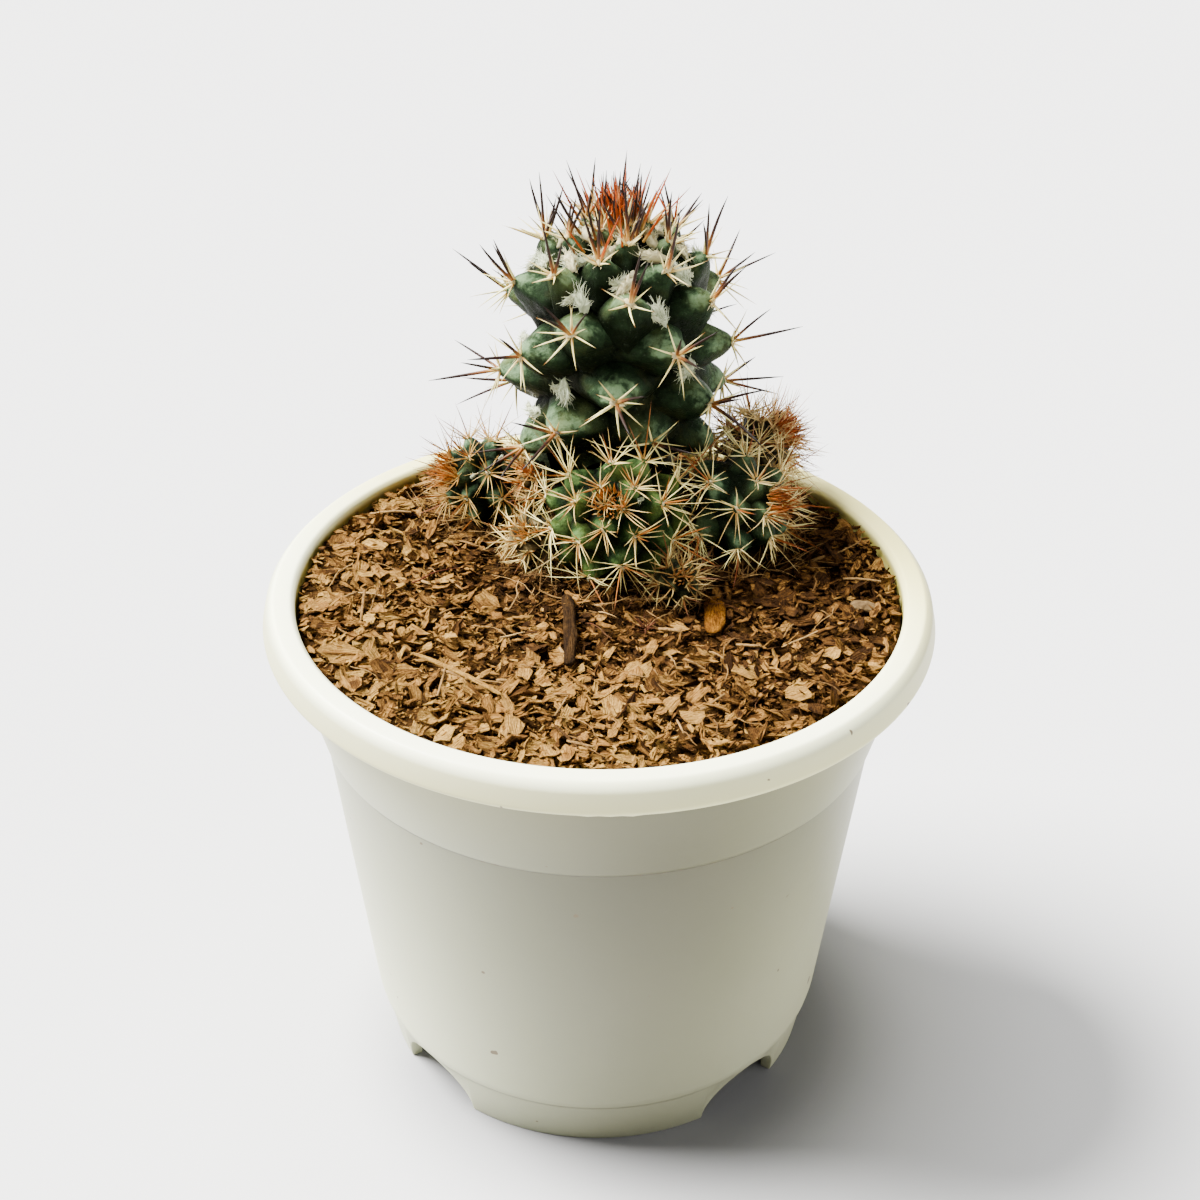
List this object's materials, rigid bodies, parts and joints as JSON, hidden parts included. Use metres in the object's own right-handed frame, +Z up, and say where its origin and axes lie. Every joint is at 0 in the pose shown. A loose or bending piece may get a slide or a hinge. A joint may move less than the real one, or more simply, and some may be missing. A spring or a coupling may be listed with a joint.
{
  "type": "potted cactus",
  "caption": "Clump-forming cactus with tubercled, spiny green heads, a tall stem and round offsets, growing in bark soil in a white plastic pot.",
  "frame": {"origin": "centre of the pot's foot, on the surface that it stands on", "axes": "+Z up along the pot's axis, the side seen in the picture faces -Y, the tall stem stands towards +Y"},
  "size_m": [0.1018, 0.1018, 0.1376],
  "materials": {
    "pot_plastic": "white, slightly creamy moulded plastic with a soft sheen",
    "bark_soil": "dry brown bark chips and fine mix, matt",
    "stem_skin": "dark green waxy skin, satin, with cream to dark brown spines",
    "offset_skin": "fresh green waxy skin, satin, with cream to rust spines",
    "twig_wood": "dark brown twig, rough",
    "straw": "pale pinkish-brown straw",
    "bark_chip": "orange-brown bark chip, matt",
    "pebble": "pale grit, matt"
  },
  "bodies": {
    "root": {"pot": "pot_plastic", "soil": "bark_soil", "stem_main": "stem_skin", "pup_front": "offset_skin", "pup_right": "offset_skin", "pup_left": "offset_skin", "pup_back_right": "offset_skin", "pup_small_left": "offset_skin", "pup_small_front": "offset_skin", "pup_small_right": "offset_skin", "twig": "twig_wood", "straw": "straw", "bark_orange": "bark_chip", "pebble": "pebble"}
  },
  "joints": []
}
